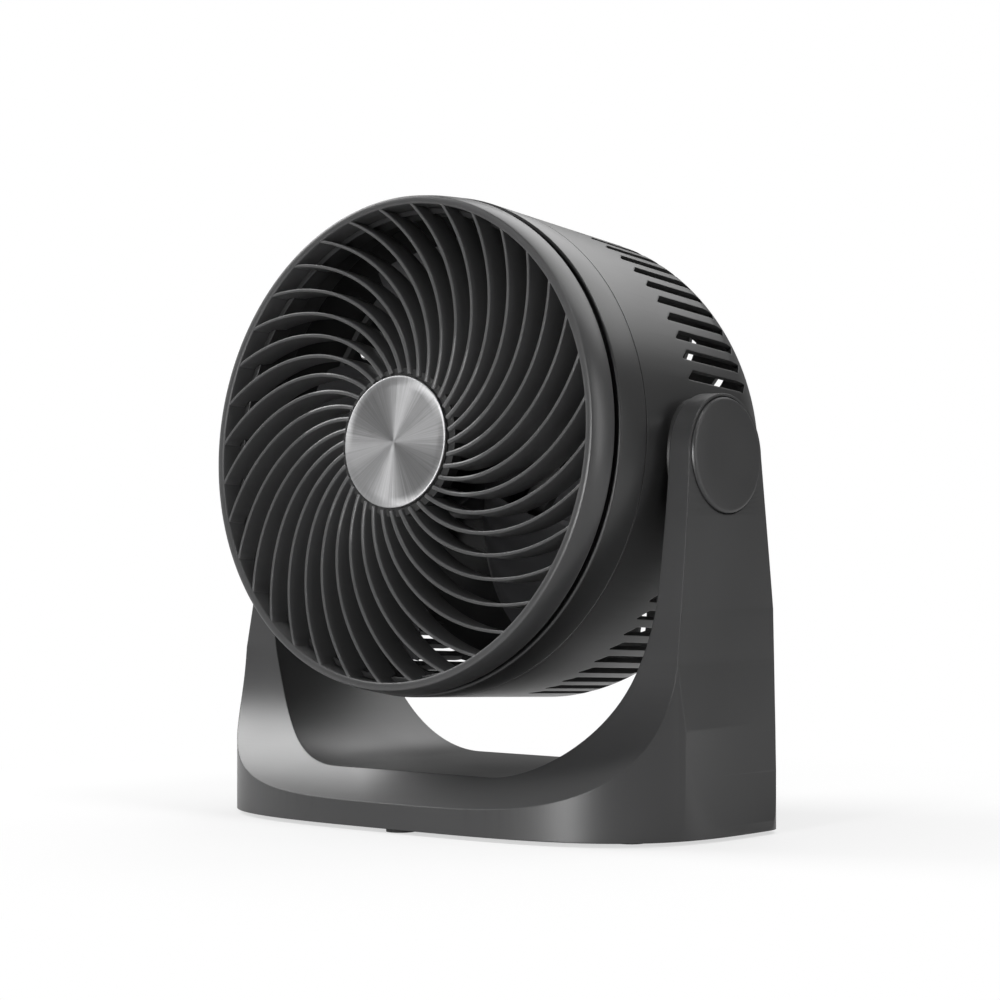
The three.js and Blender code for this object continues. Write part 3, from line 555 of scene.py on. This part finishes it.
def side_outline():
    """The stand from the side: the front sweep, the knee, the round top and the rear edge."""
    toe = (-BASE_FRONT, SHELL_BOTTOM + FRONT_WALL)
    knee = (-ARM_TOP_RADIUS - KNEE_AHEAD, FLOOR + KNEE_HEIGHT)
    sweep = bezier((toe, (toe[0] + SWEEP_HANDLE[0], toe[1] + SWEEP_HANDLE[1]),
                    (knee[0] - KNEE_HANDLE[0], knee[1] - KNEE_HANDLE[1]), knee), 90)
    shin = bezier((knee, (knee[0] + KNEE_HANDLE[0], knee[1] + KNEE_HANDLE[1]),
                   (-ARM_TOP_RADIUS - SHIN_HANDLE[0], -SHIN_HANDLE[1]), (-ARM_TOP_RADIUS, 0)), 24)
    crown = [(ARM_TOP_RADIUS * math.cos(math.radians(t)), ARM_TOP_RADIUS * math.sin(math.radians(t)))
             for t in range(176, -1, -4)]
    rear = bezier(((ARM_TOP_RADIUS, 0), (ARM_TOP_RADIUS + HEEL_HANDLE[0], -HEEL_HANDLE[1]),
                   (BASE_REAR, -HEEL_REACH), (BASE_REAR, FLOOR)), 24)
    return ([(-BASE_FRONT - 1, SHELL_BOTTOM)] + sweep + shin[1:] + crown + rear[1:]
            + [(BASE_REAR, SHELL_BOTTOM)])


def arm_face(side):
    """Places a shape on an arm's outer face, at the pivot."""
    return (STAND @ Matrix.Translation((side * ARM_HALF_WIDTH, 0, 0))
            @ Matrix.Rotation(-side * ARM_LEAN, 4, "Y"))


def recess_cutters(sides=96):
    """The two round recesses that the caps sit in."""
    radius = CAP_RADIUS + CAP_CLEAR
    turns = [i * math.pi / (sides / 2) for i in range(sides)]
    ring = [(radius * math.cos(turn), radius * math.sin(turn)) for turn in turns]
    upright = Matrix.Rotation(math.radians(90), 4, "Y")
    return [prism(ring, -RECESS_DEPTH, RECESS_DEPTH, arm_face(side) @ upright) for side, _ in SIDES]


def make_stand():
    yoke = solid("yoke_shell", *prism(yoke_outline(), -FAR, FAR, STAND @ FRONT_VIEW))
    side = solid("side", *prism(side_outline(), -FAR, FAR, STAND @ SIDE_VIEW))
    combine(yoke, side, "INTERSECT")
    plan = solid("plan", *prism(plan_outline(), SHELL_BOTTOM, FAR, STAND))
    combine(yoke, plan, "INTERSECT")
    cut(yoke, recess_cutters())
    soften(yoke, 18)
    dress(yoke, SHELL, "stand", "shell", "stand_shell")


def make_caps():
    profile = [(0, CAP_PROUD - CAP_THICK), (CAP_RADIUS, CAP_PROUD - CAP_THICK)]
    profile += rim(CAP_RADIUS, CAP_PROUD, CAP_RIM)
    profile += [(CAP_RADIUS * 0.5, CAP_PROUD), (0, CAP_PROUD)]
    for side, name in SIDES:
        place = arm_face(side) @ Matrix.Rotation(side * math.radians(90), 4, "Z")
        cap = lathe(f"round_cap_{name}", profile, 128, place, 30)
        dress(cap, SHELL, "stand", "shell", f"pivot_cap_{name}")


# ---- drum ----------------------------------------------------------------------------
SKIN_DEPTH = 0.7               # a face this far in from the drum's skin belongs to its bore


def dome(wall, steps):
    """The dome's outline, (radius, ahead), set in by a wall."""
    radius = DRUM_REAR_RADIUS - wall
    rear = DOME_REAR + wall
    shoulder = (radius - DOME_SHOULDER[0], -DRUM_STRAIGHT - DOME_DEPTH * DOME_SHOULDER[1])
    return bezier(((radius, -DRUM_STRAIGHT), shoulder, (DRUM_REAR_RADIUS * DOME_HIP, rear),
                   (DRUM_REAR_RADIUS * DOME_BACK, rear)), steps)


def dome_radius(ahead):
    outline = dome(0, 40)
    for near, far in zip(outline, outline[1:]):
        if far[1] <= ahead <= near[1]:
            share = (near[1] - ahead) / max(near[1] - far[1], 1e-6)
            return near[0] + (far[0] - near[0]) * share
    return outline[-1][0]


def make_drum_front():
    """The drum's front: the lip, the side back to the seam and the neck that the ring sits on."""
    seat = drum_radius(SEAM_AHEAD)
    neck = RING_RADIUS - RING_FACE - GAP
    neck_front = GRILLE_REAR + 4
    profile = rim(LIP_RADIUS, LIP_AHEAD, LIP_SIDE)
    profile += [(seat, SEAM_AHEAD), (seat - DRUM_WALL, SEAM_AHEAD), (seat - DRUM_WALL, LIP_AHEAD - 6),
                (neck - DRUM_WALL, LIP_AHEAD - 3), (neck - DRUM_WALL, neck_front),
                (neck, neck_front), (neck, LIP_AHEAD - LIP_CROWN[0][1])]
    profile += rim(LIP_RADIUS, LIP_AHEAD, LIP_CROWN)
    bezel = lathe("drum_bezel", profile, 240)
    dress(bezel, SHADED_CASING, "head", "shell", "drum_front")


def slot_cutters(inset=12, height=24):
    """The leaning slots in the drum's side, a group in each quarter."""
    half = SLOT_WIDTH / 2
    length = SLOT_FRONT + SLOT_REAR
    slant = SLOT_WIDTH * SLOT_SLANT
    outline = [(0.6, -half), (length - 0.4, -half), (length + slant, half)]
    outline += [(slant + back, half - down) for back, down in SLOT_CORNER]
    outline += [(0.1, -half + 0.7)]
    cutters = []
    for i in range(SLOTS_PER_QUARTER):
        angle = SLOT_FIRST + i * SLOT_PITCH
        for turn in (angle, 180 - angle, -angle, 180 + angle):
            place = (HEAD @ Matrix.Rotation(-math.radians(turn), 4, "Y")
                     @ Matrix.Translation((DRUM_REAR_RADIUS - inset, -SLOT_FRONT, 0)) @ SIDE_VIEW)
            cutters.append(prism(outline, 0, height, place))
    return cutters


def intake_cutters(reach=20):
    """The radial slots in the dome."""
    half = INTAKE_WIDTH / 2
    middle, length = DRUM_REAR_RADIUS * INTAKE_MIDDLE, DRUM_REAR_RADIUS * INTAKE_REACH
    outline = [(middle - length, -half), (middle + length, -half), (middle + length, half),
               (middle - length, half)]
    cutters = []
    for i in range(INTAKE_COUNT):
        place = (HEAD @ Matrix.Rotation(2 * math.pi * i / INTAKE_COUNT, 4, "Y")
                 @ Matrix.Translation((0, -DOME_REAR, 0)) @ FRONT_VIEW)
        cutters.append(prism(outline, -reach, reach, place))
    return cutters


def paint_bore_shade(shell):
    """Painted shade inside the drum: faces set in from its outer skin take the dull, near-black bore
    material.
    """
    shell.data.materials.append(BORE_SHADE)
    back = HEAD.inverted()
    for face in shell.data.polygons:
        spot = back @ shell.matrix_world @ face.center
        radius, ahead = math.hypot(spot.x, spot.z), -spot.y
        skin = drum_radius(ahead) if ahead > -DRUM_STRAIGHT else dome_radius(ahead)
        if radius < skin - SKIN_DEPTH and ahead > DOME_REAR + SKIN_DEPTH:
            face.material_index = 1


def make_rear_shell():
    front = SEAM_AHEAD - GAP
    profile = [(drum_radius(front), front), (drum_radius(0), 0), (DRUM_REAR_RADIUS, -DRUM_STRAIGHT)]
    profile += dome(0, 28)[1:] + [(STEM_HOLE, DOME_REAR), (STEM_HOLE, DOME_REAR + DRUM_WALL)]
    profile += dome(DRUM_WALL, 20)[::-1] + [(drum_radius(front) - DRUM_WALL, front)]
    shell = lathe("drum_shell", profile, 240)
    dress(shell, SHADED_CASING, "head", "shell", "rear_shell")
    cut(shell, slot_cutters() + intake_cutters())
    soften(shell, 28)
    paint_bore_shade(shell)


def make_bosses():
    face = ARM_INNER - BOSS_CLEAR
    profile = [(0, face)] + rim(BOSS_RADIUS, face, BOSS_RIM)
    profile += [(BOSS_RADIUS, face - BOSS_LENGTH), (0, face - BOSS_LENGTH)]
    for side, name in SIDES:
        place = HEAD @ Matrix.Rotation(side * math.radians(90), 4, "Z")
        boss = lathe(f"round_boss_{name}", profile, 96, place, 30)
        dress(boss, DARK, "head", "dark", f"pivot_boss_{name}")


# ---- grille --------------------------------------------------------------------------
# Where a rib's sections lie, from the hub (0) to the ring (1).
RIB_STATIONS = [i / 30 for i in range(29)] + [0.9435, 0.946, 0.97, 1.0]


def make_ring():
    """The grille's outer ring, which flares out to the drum's lip."""
    inside = RING_RADIUS - RING_FACE
    flare = LIP_RADIUS - RING_RADIUS
    profile = rim(inside, RING_AHEAD, RING_INNER_RIM, -1)
    profile += rim(RING_RADIUS, RING_AHEAD, RING_OUTER_RIM)
    profile += [(RING_RADIUS + flare * 0.4, RING_AHEAD - 6),
                (RING_RADIUS + flare - 0.6, GRILLE_REAR + 2.2),
                (RING_RADIUS + flare * 0.6, GRILLE_REAR + 0.6),
                (RING_RADIUS, GRILLE_REAR), (inside, GRILLE_REAR)]
    ring = lathe("grille_ring", profile, 240)
    dress(ring, GRILLE, "head", "grille", "front_grille")


def rib_point(share):
    """Radius and turn of a rib's middle line, from the hub (0) to the ring (1)."""
    inner = HUB_RADIUS + RIB_HUB_GAP
    radius = inner + (RING_RADIUS - RING_FACE + RIB_SUNK - inner) * share
    return radius, math.radians(RIB_PHASE + RIB_SWEEP * share)


def rib_section(radius, share):
    """(aside, ahead) corners of a rib: thinner toward the ring, shallower over the drum's neck."""
    half = RIB_HALF_THICK - RIB_THINNING * share
    rear = RING_AHEAD - (RIB_DEPTH if radius < NECK_RADIUS else NECK_RIB_DEPTH)
    top = RING_AHEAD - RIB_BELOW_RING
    return [(-half, top - RIB_ROUND), (-half * 0.75, top - 0.15), (0, top),
            (half * 0.75, top - 0.15), (half, top - RIB_ROUND), (half * 0.7, rear),
            (-half * 0.7, rear)]


def rib_vertices(rib):
    vertices = []
    for share in RIB_STATIONS:
        radius, turn = rib_point(share)
        turn += 2 * math.pi * rib / RIB_COUNT
        pitch = radius * math.radians(RIB_SWEEP) / (rib_point(1)[0] - rib_point(0)[0])
        across = Vector((-pitch, 1)).normalized()
        for aside, ahead in rib_section(radius, share):
            r = radius + across.x * aside
            a = turn + across.y * aside / radius
            vertices.append((r * math.cos(a), -ahead, r * math.sin(a)))
    return vertices


def rib_faces(base, count, last):
    """Faces of a rib with count corners a section, whose last section has the number last."""
    faces = []
    for i in range(last):
        for j in range(count):
            k = (j + 1) % count
            a, b = base + i * count, base + (i + 1) * count
            faces.append((a + j, b + j, b + k, a + k))
    faces.append(tuple(base + j for j in range(count)))
    faces.append(tuple(base + last * count + j for j in reversed(range(count))))
    return faces


def make_ribs():
    corners = len(rib_section(HUB_RADIUS, 0))
    vertices, faces = [], []
    for rib in range(RIB_COUNT):
        faces += rib_faces(len(vertices), corners, len(RIB_STATIONS) - 1)
        vertices += rib_vertices(rib)
    ribs = add_mesh("grille_ribs", vertices, faces, HEAD, 50)
    dress(ribs, GRILLE, "head", "grille", "front_grille")


def make_hub():
    collar_front, collar_rear = RING_AHEAD - HUB_THICK - GAP, RING_AHEAD - COLLAR_DEPTH
    profile = [(0, collar_rear), (HUB_COLLAR, collar_rear), (HUB_COLLAR, collar_front),
               (0, collar_front)]
    collar = lathe("grille_collar", profile, 160)
    dress(collar, DARK, "head", "grille", "front_grille")
    top = RING_AHEAD + HUB_PROUD
    profile = [(0, top - HUB_THICK), (HUB_RADIUS, top - HUB_THICK)] + rim(HUB_RADIUS, top, DISC_RIM)
    profile += [(HUB_RADIUS * k / 6, top) for k in range(5, -1, -1)]
    disc = lathe("brushed_hub", profile, 192)
    dress(disc, BRUSHED, "head", "brushed", "hub_disc")


# ---- impeller ------------------------------------------------------------------------
BLADE_ROWS, BLADE_COLUMNS = 14, 20


def blade_point(row, column, front):
    """Radius, turn and rise of a point on a blade's front or rear sheet, rows from root to tip."""
    radius = (FAN_HUB_RADIUS - BLADE_SUNK
              + (FAN_RADIUS - FAN_HUB_RADIUS + BLADE_SUNK) * row / BLADE_ROWS)
    out, across = row / BLADE_ROWS, column / BLADE_COLUMNS
    lead = BLADE_LEAD * out ** 1.3
    round_off = BLADE_TIP_ROUND * out ** 6 * (2 * across - 1)
    turn = BLADE_SPAN * across + lead - round_off
    pitch = (FAN_DEPTH - BLADE_MARGIN) / BLADE_SPAN
    rise = pitch * (turn - BLADE_SPAN / 2) * ((FAN_HUB_RADIUS - 1) / radius) ** 0.4
    thick = BLADE_THICK * min(1, 0.35 + 6 * across * (1 - across))
    return radius, turn, rise + (thick if front else 0)


def blade_vertices(blade):
    middle = -(FAN_AHEAD + FAN_REAR) / 2
    vertices = []
    for front in (True, False):
        for row in range(BLADE_ROWS + 1):
            for column in range(BLADE_COLUMNS + 1):
                radius, turn, rise = blade_point(row, column, front)
                turn += BLADE_PHASE + 2 * math.pi * blade / BLADE_COUNT
                vertices.append((radius * math.cos(turn), middle - rise, radius * math.sin(turn)))
    return vertices


def blade_faces(base):
    """A blade's quads: the two sheets, then the root and the tip, then the two long edges."""
    row = BLADE_COLUMNS + 1
    rear = (BLADE_ROWS + 1) * row
    quads = []
    for j in range(BLADE_ROWS):
        for i in range(BLADE_COLUMNS):
            a = j * row + i
            quads.append((a, a + 1, a + row + 1, a + row))
            quads.append((rear + a, rear + a + row, rear + a + row + 1, rear + a + 1))
    for i in range(BLADE_COLUMNS):
        tip = BLADE_ROWS * row + i
        quads.append((i, rear + i, rear + i + 1, i + 1))
        quads.append((tip, tip + 1, rear + tip + 1, rear + tip))
    for j in range(BLADE_ROWS):
        a, b = j * row, j * row + BLADE_COLUMNS
        quads.append((a, a + row, rear + a + row, rear + a))
        quads.append((b, rear + b, rear + b + row, b + row))
    return [tuple(base + corner for corner in quad) for quad in quads]


def make_impeller():
    radius, inner = FAN_HUB_RADIUS, FAN_HUB_RADIUS - FAN_HUB_WALL
    floor, socket = FAN_AHEAD - FAN_HUB_FRONT, FAN_REAR + 6
    profile = [(FAN_BORE, FAN_AHEAD), (radius - 4, FAN_AHEAD), (radius - 1.2, FAN_AHEAD - 1),
               (radius, FAN_AHEAD - 4), (radius, FAN_REAR), (inner, FAN_REAR), (inner, floor),
               (FAN_SOCKET, floor), (FAN_SOCKET, socket), (FAN_BORE, socket)]
    hub = lathe("impeller_hub", profile, 128)
    dress(hub, FAN, "impeller", "fan", "impeller")
    vertices, faces = [], []
    for blade in range(BLADE_COUNT):
        faces += blade_faces(len(vertices))
        vertices += blade_vertices(blade)
    blades = add_mesh("impeller_blades", vertices, faces, HEAD, 60)
    dress(blades, FAN, "impeller", "fan", "impeller")


# ---- carried-over solids -------------------------------------------------------------
def dress_solids():
    """Gives each solid that no piece replaces the material of its slot."""
    for part in frame["record"]["subparts"]:
        node = bpy.data.objects.get(part["node"])
        if node is None:
            continue
        node.data.materials.clear()
        node.data.materials.append(LOOKS[part["material_slot"]])


# ---- floor, light, backdrop ----------------------------------------------------------
FLOOR_REACH = 6.0              # metres, half the floor's side
FADE_START, FADE_END = 0.12, 0.4       # metres from the middle, where the shadow fades out
FADE_WHITE = 0.6               # how much plain white the camera sees right under the fan
WORLD_LEVEL = 0.16
GLOSSY_BACKDROP = 0.12         # how much of the white backdrop a reflection shows
MIDDLE = (0, 0, 0.15)          # what every lamp points at
LAMPS = (                      # name, place, width, height, watts
    ("rear_top", (0.0, 1.2, 1.4), 2.0, 1.0, 14),
    ("left_top", (-1.35, -0.5, 1.3), 0.8, 0.8, 26),
    ("front_low", (0.2, -1.85, 0.2), 0.28, 0.6, 34),
    ("left_side", (-1.6, -0.7, 0.4), 0.4, 0.8, 1.5),
    ("right_side", (1.45, 0.75, 0.45), 0.25, 0.9, 4),
    ("right_top", (1.0, -0.15, 1.7), 0.5, 0.5, 14),
)


def make_floor():
    """Pale floor; what the camera sees of it fades to plain white away from the fan's shadow."""
    reach = FLOOR_REACH
    data = bpy.data.meshes.new("floor")
    data.from_pydata([(-reach, -reach, 0), (reach, -reach, 0), (reach, reach, 0), (-reach, reach, 0)],
                     [], [(0, 1, 2, 3)])
    floor = new_object("floor", data)
    material, nodes, links, shader = new_material("white_floor")
    shader.inputs["Base Color"].default_value = (0.82, 0.82, 0.82, 1)
    shader.inputs["Roughness"].default_value = 0.8
    place = nodes.new("ShaderNodeTexCoord")
    length = nodes.new("ShaderNodeVectorMath")
    length.operation = "LENGTH"
    links.new(place.outputs["Object"], length.inputs[0])
    fade = spread(nodes, links, length.outputs["Value"], FADE_WHITE, 1.0, FADE_START, FADE_END)
    path = nodes.new("ShaderNodeLightPath")
    seen = maths(nodes, links, "MULTIPLY", path.outputs["Is Camera Ray"], fade)
    white = nodes.new("ShaderNodeEmission")
    white.inputs["Color"].default_value = (1, 1, 1, 1)
    mix = nodes.new("ShaderNodeMixShader")
    links.new(seen, mix.inputs["Fac"])
    links.new(shader.outputs["BSDF"], mix.inputs[1])
    links.new(white.outputs["Emission"], mix.inputs[2])
    links.new(mix.outputs["Shader"], nodes["Material Output"].inputs["Surface"])
    data.materials.append(material)


def make_world():
    """White to the camera and through clear pieces, partly white in reflections, else dim light."""
    world = bpy.data.worlds.new("studio")
    bpy.context.scene.world = world
    world.use_nodes = True
    nodes, links = world.node_tree.nodes, world.node_tree.links
    path = nodes.new("ShaderNodeLightPath")
    glossy = maths(nodes, links, "MULTIPLY", path.outputs["Is Glossy Ray"], GLOSSY_BACKDROP)
    seen = maths(nodes, links, "MAXIMUM", path.outputs["Is Camera Ray"], glossy)
    seen = maths(nodes, links, "MAXIMUM", seen, path.outputs["Is Transmission Ray"])
    white = nodes.new("ShaderNodeBackground")
    white.inputs["Color"].default_value = (1, 1, 1, 1)
    lit = nodes["Background"]
    lit.inputs["Color"].default_value = (0.8, 0.8, 0.8, 1)
    lit.inputs["Strength"].default_value = WORLD_LEVEL
    mix = nodes.new("ShaderNodeMixShader")
    links.new(seen, mix.inputs["Fac"])
    links.new(lit.outputs["Background"], mix.inputs[1])
    links.new(white.outputs["Background"], mix.inputs[2])
    links.new(mix.outputs["Shader"], nodes["World Output"].inputs["Surface"])


def make_lamps():
    for name, place, width, height, watts in LAMPS:
        data = bpy.data.lights.new(name, "AREA")
        data.energy = watts
        data.shape = "RECTANGLE"
        data.size = width
        data.size_y = height
        lamp = new_object(name, data)
        lamp.location = place
        aim = Vector(MIDDLE) - Vector(place)
        lamp.rotation_euler = aim.to_track_quat("-Z", "Y").to_euler()


make_stand()
make_caps()
make_drum_front()
make_rear_shell()
make_bosses()
make_ring()
make_ribs()
make_hub()
make_impeller()
dress_solids()
make_floor()
make_world()
make_lamps()

scene = bpy.context.scene
scene.view_settings.view_transform = "Standard"
